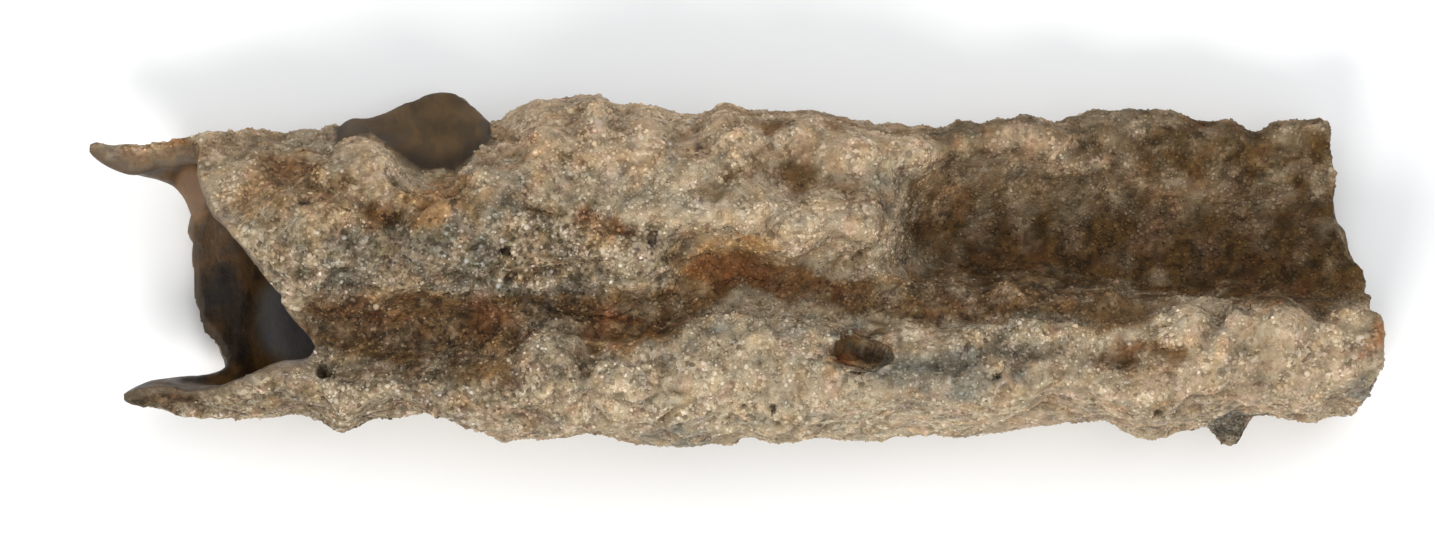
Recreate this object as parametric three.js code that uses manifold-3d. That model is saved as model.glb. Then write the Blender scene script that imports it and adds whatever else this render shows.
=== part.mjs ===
// A fulgurite: one thin-walled, crumpled tube of sand fused by lightning, lying on its side.
// Millimetres, +X along the tube, +Z up. The open, torn mouth is at -X and the broken end at +X.
import * as THREE from 'three';
import * as BufferGeometryUtils from 'three/addons/utils/BufferGeometryUtils.js';
import Module from 'manifold-3d';

// ---- Driving dimensions ----
const wear = 0.35;           // how far the underside is worn down to its resting flats
const mouthSplit = 6.2;      // height of the fold where the near and far walls part at the mouth
const stationCount = 70;     // sections along the tube
const samplesPerPoint = 3;   // outline points between two hand-placed section points
const boreStationCount = 40;
const tall = 30;             // taller than the tube, for tools that cut right through
const flake = {              // a flattened cone that juts out of the south wall
  baseRadius: 2.5, reach: 2.8, sides: 9, flatness: 0.55, dip: 0.2, lean: 0.15, middle: [24.6, -7.2, 4.3],
};
const underTheTube = [[-40, -12], [40, -12], [40, 12], [-40, 12]];  // plan of what is worn off below

// ---- Plan outline: the two side edges of the tube, as [x, y] from the mouth to the broken end ----
const northEdge = [
  [-32.5, 5.9], [-32.1, 6.2], [-31.4, 6.2], [-30.6, 6.0], [-29.0, 6.3], [-27.2, 6.7], [-24.0, 6.8],
  [-22.2, 7.0], [-21.0, 6.7], [-20.0, 7.1], [-18.7, 7.5], [-16.7, 8.1], [-15.7, 8.6], [-14.6, 8.9],
  [-13.7, 8.6], [-12.7, 7.8], [-11.9, 7.2], [-11.2, 7.7], [-10.4, 8.2], [-8.0, 8.4], [-6.7, 8.9],
  [-5.6, 8.2], [-4.0, 8.1], [-2.2, 7.7], [0.0, 8.2], [3.2, 7.8], [5.2, 7.5], [8.2, 7.1],
  [10.0, 7.0], [12.5, 7.3], [14.5, 7.7], [16.5, 7.3], [18.2, 8.0], [21.2, 8.2], [22.0, 8.1],
  [23.7, 7.3], [25.2, 7.4], [25.9, 6.9], [27.2, 7.6], [29.5, 7.6], [33.5, 7.2],
];
const southEdge = [
  [-32.5, -6.6], [-30.3, -6.8], [-28.6, -7.0], [-26.7, -7.4], [-24.2, -7.6], [-21.8, -7.3],
  [-20.2, -8.0], [-19.6, -8.1], [-18.0, -7.6], [-15.2, -7.4], [-13.2, -8.0], [-11.7, -8.2],
  [-9.3, -8.5], [-8.2, -8.3], [-6.7, -8.4], [-3.7, -8.7], [-2.0, -8.9], [-0.7, -8.7],
  [1.1, -8.4], [2.0, -8.7], [4.7, -8.5], [11.2, -8.3], [13.2, -8.1], [15.7, -7.7], [18.5, -7.7],
  [19.2, -8.1], [20.7, -8.5], [22.0, -8.2], [25.7, -7.3], [28.7, -7.5], [33.5, -7.0],
];

// ---- Sections, as [y, z], from the south side over the top to the north side and back under:
// south side, shoulder, crest, flank | valley | north flank, crest, shoulder, crease, wing, side |
// north keel, middle keel, south keel ----
const outerRibs = [
  { x: -32.5, points: [
    [-6.6, 6.4], [-5.6, 7.4], [-4.2, 8.2], [-2.6, 8.7], [-1.0, 9.0], [0.8, 9.0], [2.4, 8.7],
    [3.8, 8.2], [4.8, 7.6], [5.5, 6.9], [5.9, 6.1], [4.2, 4.3], [0.0, 3.4], [-4.4, 4.6]] },
  { x: -26.9, points: [
    [-7.4, 6.3], [-6.6, 8.6], [-4.8, 10.2], [-2.8, 11.0], [-1.0, 11.3], [1.0, 11.2], [2.8, 10.6],
    [4.4, 9.5], [5.4, 8.4], [6.2, 7.2], [6.7, 6.0], [4.8, 2.4], [-0.6, 0.9], [-5.4, 2.2]] },
  { x: -22.2, points: [
    [-7.3, 6.2], [-6.9, 9.1], [-5.8, 10.5], [-4.4, 10.2], [-3.0, 10.6], [-0.8, 12.2], [2.0, 12.6],
    [4.4, 11.0], [5.6, 9.4], [6.6, 7.6], [7.0, 5.8], [4.9, 1.6], [-0.6, 0.7], [-5.4, 0.9]] },
  { x: -20.0, points: [
    [-8.0, 6.0], [-7.0, 9.8], [-5.9, 11.2], [-4.6, 10.1], [-2.9, 10.2], [-0.6, 12.2], [2.4, 12.9],
    [4.8, 11.4], [6.2, 9.0], [6.9, 6.8], [7.1, 4.8], [5.0, 1.0], [-0.4, 0.8], [-5.2, 0.1]] },
  { x: -17.6, points: [
    [-7.6, 6.0], [-7.0, 9.8], [-6.0, 11.4], [-4.6, 10.1], [-2.9, 9.9], [-0.7, 12.0], [2.2, 12.8],
    [5.2, 11.0], [6.3, 7.2], [7.0, 5.2], [7.8, 3.8], [5.2, 0.4], [-0.4, 0.9], [-5.2, 0.3]] },
  { x: -16.2, points: [
    [-7.5, 6.0], [-7.0, 9.8], [-6.0, 11.5], [-4.6, 10.2], [-2.9, 9.9], [-0.8, 12.0], [1.9, 12.9],
    [4.3, 11.0], [5.2, 6.9], [6.7, 5.2], [8.4, 3.4], [5.4, 0.1], [-0.4, 0.9], [-5.2, 0.4]] },
  { x: -14.7, points: [
    [-7.5, 6.0], [-7.0, 9.8], [-6.0, 11.6], [-4.6, 10.3], [-2.9, 9.8], [-0.8, 12.0], [1.6, 13.0],
    [3.7, 11.2], [4.6, 6.8], [6.4, 5.2], [8.9, 3.2], [5.4, 0.0], [-0.4, 0.9], [-5.2, 0.5]] },
  { x: -13.0, points: [
    [-8.0, 6.0], [-7.4, 9.9], [-6.1, 12.0], [-4.3, 11.3], [-2.6, 9.9], [-0.7, 11.9], [1.7, 13.0],
    [4.5, 11.4], [5.5, 7.0], [6.8, 5.4], [8.0, 3.8], [5.4, 0.2], [-0.3, 1.0], [-5.3, 0.6]] },
  { x: -11.8, points: [
    [-8.2, 6.0], [-7.8, 10.0], [-6.2, 12.4], [-4.0, 12.4], [-2.2, 10.0], [-0.6, 11.8], [1.8, 13.0],
    [4.6, 12.4], [6.0, 10.4], [6.9, 8.0], [7.2, 5.4], [5.2, 0.4], [-0.2, 1.0], [-5.4, 0.8]] },
  { x: -6.7, points: [
    [-8.4, 6.0], [-8.0, 10.4], [-6.2, 13.0], [-4.0, 12.2], [-2.6, 9.4], [-0.7, 11.6], [1.4, 12.8],
    [4.2, 12.3], [7.0, 11.0], [8.2, 8.6], [8.9, 6.0], [6.0, 1.4], [0.4, 0.7], [-5.2, 0.5]] },
  { x: -1.7, points: [
    [-8.9, 5.8], [-8.2, 10.2], [-6.4, 13.2], [-3.4, 12.4], [-1.2, 9.4], [0.2, 10.4], [2.2, 12.7],
    [4.0, 11.9], [5.8, 11.3], [7.2, 9.0], [7.8, 6.0], [5.6, 1.6], [0.4, 0.8], [-5.2, 0.3]] },
  { x: 3.2, points: [
    [-8.6, 5.6], [-8.0, 10.2], [-6.2, 13.2], [-3.0, 11.8], [-1.0, 9.0], [0.4, 10.0], [2.3, 12.4],
    [4.6, 9.8], [6.2, 10.2], [7.4, 8.2], [7.8, 5.6], [5.6, 1.5], [0.4, 0.9], [-5.0, 0.6]] },
  { x: 6.8, points: [
    [-8.4, 5.4], [-7.8, 10.0], [-6.2, 13.0], [-3.2, 11.8], [-1.2, 9.0], [0.5, 9.2], [2.2, 11.6],
    [4.3, 9.2], [5.8, 9.4], [6.9, 7.6], [7.3, 5.4], [5.4, 1.4], [0.2, 0.9], [-5.0, 0.7]] },
  { x: 9.0, points: [
    [-8.4, 5.3], [-7.8, 9.9], [-6.2, 12.8], [-3.0, 11.8], [-1.1, 9.2], [0.3, 6.8], [2.4, 6.8],
    [4.3, 7.6], [5.8, 8.6], [6.7, 7.2], [7.1, 5.2], [5.2, 1.3], [0.1, 0.9], [-5.0, 0.6]] },
  { x: 11.2, points: [
    [-8.3, 5.2], [-7.8, 9.8], [-6.2, 12.6], [-2.9, 11.8], [-1.1, 9.4], [0.1, 5.2], [2.4, 4.9],
    [4.3, 6.2], [6.0, 7.8], [6.8, 6.6], [7.1, 5.0], [5.2, 1.2], [0.0, 0.9], [-5.0, 0.5]] },
  { x: 18.2, points: [
    [-7.7, 5.0], [-7.4, 9.6], [-5.8, 12.5], [-2.9, 11.8], [-1.2, 9.4], [-0.2, 4.9], [2.2, 4.5],
    [4.5, 5.5], [6.6, 7.0], [7.6, 6.0], [8.0, 4.6], [5.4, 0.4], [0.0, 0.8], [-4.8, 0.1]] },
  { x: 25.7, points: [
    [-7.3, 5.0], [-7.0, 9.2], [-5.4, 12.2], [-3.0, 11.6], [-1.6, 8.8], [-0.6, 4.9], [2.0, 4.5],
    [4.3, 5.4], [5.9, 6.4], [6.7, 5.6], [6.9, 4.3], [4.8, 0.1], [-0.2, 0.8], [-4.8, 0.0]] },
  { x: 33.5, points: [
    [-7.0, 5.0], [-6.7, 8.8], [-5.2, 11.6], [-3.2, 11.2], [-1.9, 8.4], [-0.9, 5.1], [1.8, 4.7],
    [4.3, 5.4], [5.8, 6.2], [6.8, 5.4], [7.2, 4.2], [4.8, 1.0], [-0.2, 0.9], [-4.6, 0.8]] },
];

// ---- The bore: south, south top | under the valley | north top, north, north floor, middle floor,
// south floor. It flattens to a slit under the deep trough ----
const boreRibs = [
  { x: -34.0, points: [
    [-4.8, 6.3], [-3.2, 7.2], [0.0, 7.8], [3.0, 7.2], [4.2, 6.1], [2.8, 5.1], [0.0, 4.7],
    [-3.0, 5.2]] },
  { x: -26.9, points: [
    [-6.1, 6.3], [-4.0, 8.9], [-0.6, 10.0], [3.0, 9.2], [5.3, 6.2], [3.4, 3.2], [-0.4, 2.1],
    [-4.2, 3.2]] },
  { x: -22.2, points: [
    [-6.1, 6.2], [-5.3, 9.1], [-2.2, 9.3], [2.4, 11.2], [5.7, 6.0], [3.6, 2.6], [-0.5, 1.9],
    [-4.4, 2.3]] },
  { x: -20.0, points: [
    [-6.7, 6.0], [-5.6, 9.4], [-2.4, 8.9], [2.6, 11.3], [5.7, 5.2], [3.8, 2.2], [-0.5, 2.0],
    [-4.6, 1.9]] },
  { x: -16.2, points: [
    [-6.1, 6.0], [-5.6, 9.6], [-2.8, 8.5], [1.6, 11.4], [4.0, 4.8], [3.8, 1.8], [-0.4, 2.1],
    [-4.4, 2.0]] },
  { x: -13.8, points: [
    [-6.4, 6.0], [-5.6, 9.8], [-2.7, 8.5], [1.3, 11.4], [3.6, 4.8], [3.8, 1.8], [-0.4, 2.1],
    [-4.4, 2.0]] },
  { x: -11.8, points: [
    [-6.8, 6.0], [-5.6, 10.6], [-2.2, 8.6], [2.0, 11.4], [5.4, 6.0], [4.0, 2.1], [-0.2, 2.2],
    [-4.6, 2.2]] },
  { x: -6.7, points: [
    [-7.1, 6.0], [-5.8, 11.0], [-2.5, 8.1], [2.0, 11.0], [6.8, 6.8], [4.8, 2.7], [0.2, 2.1],
    [-4.4, 2.0]] },
  { x: -1.7, points: [
    [-7.4, 5.8], [-5.8, 11.0], [-1.3, 8.0], [2.2, 10.7], [6.2, 6.4], [4.4, 2.9], [0.2, 2.2],
    [-4.4, 1.9]] },
  { x: 3.2, points: [
    [-7.2, 5.6], [-5.8, 10.8], [-1.2, 7.7], [2.3, 9.9], [5.7, 5.8], [4.2, 2.8], [0.2, 2.3],
    [-4.2, 2.1]] },
  { x: 6.8, points: [
    [-7.0, 5.4], [-5.7, 10.6], [-1.4, 7.5], [2.2, 8.0], [5.2, 5.4], [3.8, 2.7], [0.0, 2.3],
    [-4.2, 2.1]] },
  { x: 9.0, points: [
    [-6.9, 5.3], [-5.7, 10.5], [-2.1, 7.4], [1.4, 5.3], [5.2, 5.2], [3.8, 2.6], [0.0, 2.2],
    [-4.2, 2.0]] },
  { x: 11.2, points: [
    [-6.9, 5.2], [-5.7, 10.3], [-2.5, 7.2], [0.8, 3.7], [5.2, 4.6], [3.8, 2.5], [0.0, 2.2],
    [-4.4, 1.8]] },
  { x: 18.2, points: [
    [-6.4, 5.0], [-5.3, 10.2], [-2.6, 7.0], [0.6, 3.3], [5.6, 4.2], [4.0, 2.1], [0.0, 2.0],
    [-4.3, 1.5]] },
  { x: 25.7, points: [
    [-6.0, 5.0], [-4.9, 9.9], [-2.8, 6.9], [0.3, 3.3], [4.8, 3.9], [3.6, 2.0], [-0.2, 2.0],
    [-4.2, 1.5]] },
  { x: 35.0, points: [
    [-5.7, 5.0], [-4.7, 9.3], [-3.0, 6.7], [0.1, 3.5], [4.8, 3.9], [3.6, 2.5], [-0.2, 2.2],
    [-4.0, 2.0]] },
];

// ---- Broken outlines in plan, as [x, y]; each tool also reaches outside the tube ----
const farMouthOutline = [
  [-36.0, 5.5], [-32.5, 5.7], [-31.7, 5.2], [-30.8, 4.9], [-28.9, 4.5], [-28.2, 4.3], [-27.6, 3.5],
  [-27.2, 2.5], [-27.1, -1.6], [-26.7, -3.2], [-26.2, -3.5], [-25.7, -4.4], [-25.3, -5.1],
  [-26.5, -5.4], [-28.9, -5.5], [-29.8, -5.9], [-30.3, -6.1], [-30.6, -6.4], [-30.5, -6.7],
  [-30.2, -9.0], [-36.0, -9.0],
];
const nearMouthOutline = [
  [-36.0, 9.0], [-26.9, 9.0], [-26.8, 4.3], [-26.1, 2.6], [-24.6, 1.1], [-23.0, -1.0],
  [-22.0, -2.6], [-20.8, -4.3], [-22.6, -4.6], [-24.0, -5.2], [-25.7, -6.1], [-27.6, -6.1],
  [-28.9, -5.8], [-29.8, -5.9], [-31.0, -6.2], [-36.0, -6.2],
];
const brokenEndOutline = [
  [29.9, 9.0], [29.9, 6.7], [30.0, 2.7], [30.7, 0.9], [31.4, -0.1], [32.0, -1.6], [32.4, -3.6],
  [32.5, -4.4], [32.1, -5.1], [31.8, -6.3], [31.1, -7.0], [30.2, -9.0], [38.0, -9.0], [38.0, 9.0],
];

const wasm = await Module();
wasm.setup();

// Reads a smooth curve through [x, value] points at one x, without overshooting its points.
function smoothAt(points, x) {
  const last = points.length - 1;
  let i = 0;
  while (i < last - 1 && x > points[i + 1][0]) {
    i += 1;
  }
  const slope = (k) => (points[k + 1][1] - points[k][1]) / (points[k + 1][0] - points[k][0]);
  const tangent = (k) => {
    if (k === 0 || k === last) {
      return slope(Math.min(k, last - 1));
    }
    const before = slope(k - 1);
    const after = slope(k);
    return before * after <= 0 ? 0 : (2 * before * after) / (before + after);
  };
  const width = points[i + 1][0] - points[i][0];
  const t = THREE.MathUtils.clamp((x - points[i][0]) / width, 0, 1);
  const h = t * t * (3 - 2 * t);
  return points[i][1] * (1 - h) + points[i + 1][1] * h
    + tangent(i) * width * (t * (1 - t) * (1 - t))
    - tangent(i + 1) * width * (t * t * (1 - t));
}

// A section point's place across the plan outline, 0 at the south edge and 1 at the north edge.
function acrossPlan(x, y) {
  const south = smoothAt(southEdge, x);
  return (y - south) / (smoothAt(northEdge, x) - south);
}

// Lofts one closed skin through the ribs, keeping each point's share of the plan width.
function loft(ribs, count) {
  const features = ribs[0].points.map((_, k) => ({
    across: ribs.map((rib) => [rib.x, acrossPlan(rib.x, rib.points[k][0])]),
    height: ribs.map((rib) => [rib.x, rib.points[k][1] - wear]),
  }));
  const around = features.length * samplesPerPoint;
  const start = ribs[0].x;
  const length = ribs[ribs.length - 1].x - start;
  const positions = [];
  const indices = [];
  const sections = [];
  for (let i = 0; i < count; i += 1) {
    const x = start + (length * i) / (count - 1);
    const south = smoothAt(southEdge, x);
    const width = smoothAt(northEdge, x) - south;
    const corners = features.map((feature) => new THREE.Vector3(
      x, south + width * smoothAt(feature.across, x), smoothAt(feature.height, x)));
    const curve = new THREE.CatmullRomCurve3(corners, true, 'centripetal');
    const section = [];
    for (let k = 0; k < around; k += 1) {
      const point = curve.getPoint(k / around);
      positions.push(point.x, point.y, point.z);
      section.push(new THREE.Vector2(point.y, point.z));
    }
    sections.push(section);
  }
  for (let i = 0; i < count - 1; i += 1) {
    for (let k = 0; k < around; k += 1) {
      const a = i * around + k;
      const b = i * around + ((k + 1) % around);
      indices.push(a, a + around, b, b, a + around, b + around);
    }
  }
  const lastRing = (count - 1) * around;
  for (const [a, b, c] of THREE.ShapeUtils.triangulateShape(sections[0], [])) {
    indices.push(a, c, b);
  }
  for (const [a, b, c] of THREE.ShapeUtils.triangulateShape(sections[count - 1], [])) {
    indices.push(lastRing + a, lastRing + b, lastRing + c);
  }
  const geometry = new THREE.BufferGeometry();
  geometry.setAttribute('position', new THREE.Float32BufferAttribute(positions, 3));
  geometry.setIndex(indices);
  return geometry;
}

// A closed three.js geometry as a Manifold solid, turned right side out.
function solidFrom(geometry) {
  const bare = geometry.clone();
  bare.deleteAttribute('normal');
  bare.deleteAttribute('uv');
  const merged = BufferGeometryUtils.mergeVertices(bare, 1e-5);
  const triangles = Uint32Array.from(merged.index.array);
  const corners = Float32Array.from(merged.attributes.position.array);
  const build = () => new wasm.Manifold(new wasm.Mesh({
    numProp: 3,
    vertProperties: corners,
    triVerts: triangles,
  }));
  let solid = build();
  if (solid.volume() < 0) {
    for (let i = 0; i < triangles.length; i += 3) {
      [triangles[i + 1], triangles[i + 2]] = [triangles[i + 2], triangles[i + 1]];
    }
    solid = build();
  }
  return solid;
}

// A prism over a plan outline, from one height to another.
function prism(outline, bottom, top) {
  const shape = new THREE.Shape(outline.map(([x, y]) => new THREE.Vector2(x, y)));
  const geometry = new THREE.ExtrudeGeometry(shape, { depth: top - bottom, bevelEnabled: false });
  return solidFrom(geometry.translate(0, 0, bottom));
}

// The dark flake that juts out to the south near the broken end, a little down and to the right.
function flakeSolid() {
  const geometry = new THREE.ConeGeometry(flake.baseRadius, flake.reach, flake.sides);
  geometry.scale(1, 1, flake.flatness).rotateX(Math.PI + flake.dip).rotateZ(flake.lean);
  return solidFrom(geometry.translate(...flake.middle));
}

function fulguriteSolid() {
  const bore = solidFrom(loft(boreRibs, boreStationCount));
  const underside = prism(underTheTube, -tall, 0);
  return solidFrom(loft(outerRibs, stationCount))
    .add(flakeSolid())
    .subtract(bore)
    .subtract(prism(farMouthOutline, -tall, tall))
    .subtract(prism(nearMouthOutline, mouthSplit, tall))
    .subtract(prism(brokenEndOutline, -tall, tall))
    .subtract(underside);
}

function meshGeometry(solid) {
  const mesh = solid.getMesh();
  const geometry = new THREE.BufferGeometry();
  geometry.setAttribute('position', new THREE.Float32BufferAttribute(mesh.vertProperties, 3));
  geometry.setIndex(Array.from(mesh.triVerts));
  geometry.computeBoundingBox();
  const { min, max } = geometry.boundingBox;
  geometry.translate(-(min.x + max.x) / 2, -(min.y + max.y) / 2, -min.z);
  geometry.computeVertexNormals();
  return geometry;
}

const sandGlass = new THREE.MeshStandardMaterial({
  name: 'sand_crusted_glass',
  color: '#9c8264',
  roughness: 0.85,
  metalness: 0,
});
const fulgurite = new THREE.Mesh(meshGeometry(fulguriteSolid()), sandGlass);
fulgurite.name = 'fulgurite';
const part = new THREE.Group();
part.add(fulgurite);

export default part;
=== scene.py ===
# %% [markdown]
# # A fulgurite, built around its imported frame
# A fulgurite is sand that a lightning strike melted into a thin-walled tube. This one lies on its
# side: crusted with half-melted grains outside, smooth brown glass inside, torn open at one end and
# snapped off at the other. The frame gives the real size and the coarse form. This script gives it
# its surface: lumps and hollows, a skin of sand grains, stains, and glass.
#
# Sculpting is done in millimetres, because a grain of 0.0002 m is hard to picture.

import bmesh
import bpy
import numpy as np
from mathutils import Matrix, Vector, noise
from mathutils.bvhtree import BVHTree


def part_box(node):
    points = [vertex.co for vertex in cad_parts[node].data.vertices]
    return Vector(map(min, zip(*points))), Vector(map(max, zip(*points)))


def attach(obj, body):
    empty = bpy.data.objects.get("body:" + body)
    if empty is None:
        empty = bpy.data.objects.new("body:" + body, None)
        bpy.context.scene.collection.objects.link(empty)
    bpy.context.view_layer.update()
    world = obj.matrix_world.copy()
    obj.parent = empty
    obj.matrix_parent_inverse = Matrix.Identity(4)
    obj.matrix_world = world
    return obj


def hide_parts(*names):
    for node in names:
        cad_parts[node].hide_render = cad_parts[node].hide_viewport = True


NOISE_SEED = 2
noise.seed_set(NOISE_SEED)  # vector noise starts from the clock unless it is given a seed
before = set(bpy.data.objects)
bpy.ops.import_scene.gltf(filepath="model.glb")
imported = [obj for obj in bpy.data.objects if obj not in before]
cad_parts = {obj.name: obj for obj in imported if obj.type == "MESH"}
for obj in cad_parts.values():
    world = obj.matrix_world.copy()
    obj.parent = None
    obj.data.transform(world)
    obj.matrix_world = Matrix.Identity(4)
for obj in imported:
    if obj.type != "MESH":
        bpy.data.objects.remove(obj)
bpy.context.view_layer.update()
MM = 0.001
LOW, HIGH = (np.array(corner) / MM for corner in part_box("fulgurite"))
LENGTH, WIDTH, DEPTH = HIGH - LOW
print(f"the frame holds a tube of {LENGTH:.1f} x {WIDTH:.1f} x {DEPTH:.1f} mm")

# %% [markdown]
# ## Camera, light and floor
# The specimen is seen from straight above, through a long lens, so that its plan outline isn't
# spread by perspective. A large soft light from the south side (-Y) rakes across the ridges, and
# leaves the long trough behind the tall ridge in shade. A broad fill from above and a pale world keep
# that shade readable. All lights are areas: a point light would draw hard edges that no studio has.

# %% Camera
MARGIN = 1.104  # the view is this many times as wide as the tube is long
OFF_CENTRE = (-0.85, -0.38, 0)
VIEW_WIDTH = LENGTH * MARGIN
VIEW_CENTRE = (LOW + HIGH) / 2 + OFF_CENTRE
LENS = 600.0
SENSOR = 36.0


def placed(name, data):
    """A new object in the scene, at the origin."""
    thing = bpy.data.objects.new(name, data)
    bpy.context.collection.objects.link(thing)
    return thing


camera_data = bpy.data.cameras.new("specimen_camera")
camera_data.lens = LENS
camera_data.sensor_width = SENSOR
camera_data.clip_start = 0.01
camera = placed("specimen_camera", camera_data)
distance = VIEW_WIDTH * LENS / SENSOR
camera.location = (VIEW_CENTRE[0] * MM, VIEW_CENTRE[1] * MM, (DEPTH / 2 + distance) * MM)
bpy.context.scene.camera = camera
print(f"camera {distance:.0f} mm above the specimen")


# %% Lights
KEY_WATTS, FILL_WATTS, ROOM_GLOW = 0.71, 0.70, 0.60


def area_light(name, place, size, watts, tint):
    """A square soft light at a place in mm, turned towards the specimen."""
    data = bpy.data.lights.new(name, "AREA")
    data.size = size * MM
    data.energy = watts
    data.color = tint
    light = placed(name, data)
    light.location = Vector(place) * MM
    light.rotation_euler = (-Vector(place)).to_track_quat("-Z", "Y").to_euler()


area_light("key_from_south", (-80, -215, 270), 140, KEY_WATTS, (1.0, 0.975, 0.93))
area_light("fill_from_above", (60, 120, 330), 300, FILL_WATTS, (0.96, 0.98, 1.0))
world = bpy.data.worlds.new("pale_room")
world.use_nodes = True
room = world.node_tree.nodes["Background"]
room.inputs["Color"].default_value = (0.95, 0.97, 1.0, 1)
room.inputs["Strength"].default_value = ROOM_GLOW
bpy.context.scene.world = world
bpy.context.scene.view_settings.view_transform = "Standard"
print(f"key light {KEY_WATTS} W, fill {FILL_WATTS} W")

# %% Floor
FLOOR_REACH = 2.0  # metres from the specimen to each side


def new_material(name):
    """A material, with its node tree and its main shader."""
    material = bpy.data.materials.new(name)
    material.use_nodes = True
    return material, material.node_tree, material.node_tree.nodes["Principled BSDF"]


floor_mesh = bpy.data.meshes.new("floor")
floor_corners = [(x * FLOOR_REACH, y * FLOOR_REACH, 0) for x, y in ((-1, -1), (1, -1), (1, 1), (-1, 1))]
floor_mesh.from_pydata(floor_corners, [], [(0, 1, 2, 3)])
floor = placed("floor", floor_mesh)
floor_paint, _, floor_shader = new_material("pale_floor")
floor_shader.inputs["Base Color"].default_value = (0.93, 0.93, 0.925, 1)
floor_shader.inputs["Roughness"].default_value = 0.9
floor_mesh.materials.append(floor_paint)

# %% [markdown]
# ## An even skin to sculpt on
# The CAD solid has long thin faces, which can't be pushed about. A voxel remesh replaces them with
# even quads a little over a quarter of a millimetre wide, closed and free of slivers. The alternative,
# subdividing the CAD faces, would keep their slivers and their hard cut edges. Where small crisp
# forms come later, such as burst bubbles and the lip over the notch, the quads are cut into quarters.

# %% Remesh
VOXEL = 0.285


def evened(source, voxel):
    """The source mesh in mm, rebuilt as even quads."""
    mesh = source.data.copy()
    mesh.transform(source.matrix_world)
    mesh.transform(Matrix.Scale(1 / MM, 4))
    draft = placed("draft", mesh)
    remesh = draft.modifiers.new("even_quads", "REMESH")
    remesh.mode = "VOXEL"
    remesh.voxel_size = voxel
    modified = draft.evaluated_get(bpy.context.evaluated_depsgraph_get())
    done = bpy.data.meshes.new_from_object(modified)
    bpy.data.objects.remove(draft)
    return done


skin = evened(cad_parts["fulgurite"], VOXEL)
print(f"skin: {len(skin.vertices)} points, {len(skin.polygons)} quads")

# %% Bubble pits, where gas burst through the crust: x, y, half-length, half-width, depth
PITS = [
    (6.15, -4.15, 1.45, 0.80, 1.30), (-20.5, -5.1, 0.40, 0.36, 1.25), (-21.4, 3.3, 0.32, 0.22, 0.50),
    (-11.5, 0.9, 0.20, 0.20, 0.40), (-11.3, -0.6, 0.24, 0.20, 0.40), (-14.0, 3.3, 0.25, 0.20, 0.35),
    (-4.1, 1.3, 0.18, 0.32, 0.40), (21.1, -7.2, 0.22, 0.20, 0.35),
    (-17.2, 0.4, 0.20, 0.16, 0.35), (1.9, -6.9, 0.22, 0.18, 0.30), (13.0, -5.4, 0.26, 0.18, 0.35),
]
# the torn lip of the roof over the notch, from west to east
NOTCH_LIP = [(-20.2, 6.6), (-19.3, 6.4), (-18.2, 6.9), (-16.8, 5.9), (-15.5, 5.0), (-14.0, 4.9),
             (-12.8, 5.9), (-11.9, 7.2)]


def distance_to_path(places, path):
    """How far each point lies, in plan, from a path of straight stretches."""
    nearest = np.full(len(places), np.inf)
    for (ax, ay), (bx, by) in zip(path, path[1:]):
        run = np.array((bx - ax, by - ay))
        along = np.clip(((places[:, :2] - (ax, ay)) @ run) / (run @ run), 0, 1)
        gap = places[:, :2] - (ax, ay) - along[:, None] * run
        nearest = np.minimum(nearest, np.linalg.norm(gap, axis=1))
    return nearest


# %% Cut the quads finer where those forms come
FINE_ROUND_A_PIT = 0.45
FINE_ROUND_THE_LIP = 0.7
FACES_UP = 0.1


def cut_finer(mesh):
    """Quarter the upward faces near the pits and the lip, always in the same order."""
    work = bmesh.new()
    work.from_mesh(mesh)
    work.faces.ensure_lookup_table()
    middles = np.array([face.calc_center_median() for face in work.faces])
    facing = np.array([face.normal.z for face in work.faces])
    gap = distance_to_path(middles, NOTCH_LIP) - FINE_ROUND_THE_LIP
    for x, y, half_x, half_y, _ in PITS:
        from_pit = np.hypot(middles[:, 0] - x, middles[:, 1] - y) - max(half_x, half_y)
        gap = np.minimum(gap, from_pit - FINE_ROUND_A_PIT)
    chosen = np.flatnonzero((gap < 0) & (facing > FACES_UP) & (middles[:, 2] > DEPTH / 3))
    near = {edge.index for i in chosen for edge in work.faces[i].edges}
    work.edges.ensure_lookup_table()
    edges = [work.edges[i] for i in sorted(near)]
    bmesh.ops.subdivide_edges(work, edges=edges, cuts=1, use_grid_fill=True)
    work.to_mesh(mesh)
    work.free()


cut_finer(skin)
triangles = sum(len(face.vertices) - 2 for face in skin.polygons)
print(f"after cutting: {len(skin.polygons)} faces, {triangles} triangles")


# %% Helpers that read and write a mesh as arrays
def places_of(mesh):
    found = np.empty(len(mesh.vertices) * 3)
    mesh.vertices.foreach_get("co", found)
    return found.reshape(-1, 3)


def normals_of(mesh):
    found = np.empty(len(mesh.vertices) * 3)
    mesh.vertex_normals.foreach_get("vector", found)
    return found.reshape(-1, 3)


def put(mesh, places):
    mesh.vertices.foreach_set("co", places.ravel())
    mesh.update()


def edges_of(mesh):
    found = np.empty(len(mesh.edges) * 2, int)
    mesh.edges.foreach_get("vertices", found)
    return found.reshape(-1, 2).T


EDGES = edges_of(skin)
NEIGHBOURS = np.bincount(EDGES.ravel(), minlength=len(skin.vertices))[:, None]


def mixed_with_neighbours(values, share):
    """Values at the skin's points, moved by a share of the way to their neighbours' mean."""
    start, end = EDGES
    total = np.stack([np.bincount(start, column[end], len(column))
                      + np.bincount(end, column[start], len(column)) for column in values.T], 1)
    return values + share * (total / NEIGHBOURS - values)


def averaged(values, rounds):
    """Values evened out over the skin, further with each round."""
    values = np.array(values, float).reshape(len(NEIGHBOURS), -1)
    for _ in range(rounds):
        values = mixed_with_neighbours(values, 0.5)
    return values.squeeze()


def smoothstep(low, high, values):
    """0 up to low, 1 from high on, and a soft rise between them."""
    t = np.clip((values - low) / (high - low), 0, 1)
    return t * t * (3 - 2 * t)


def bell(values, middle, half):
    """1 at the middle, falling to about a third this far from it."""
    return np.exp(-((values - middle) / half) ** 2)


def mixed(first, second, share):
    return first * (1 - share) + second * share


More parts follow.
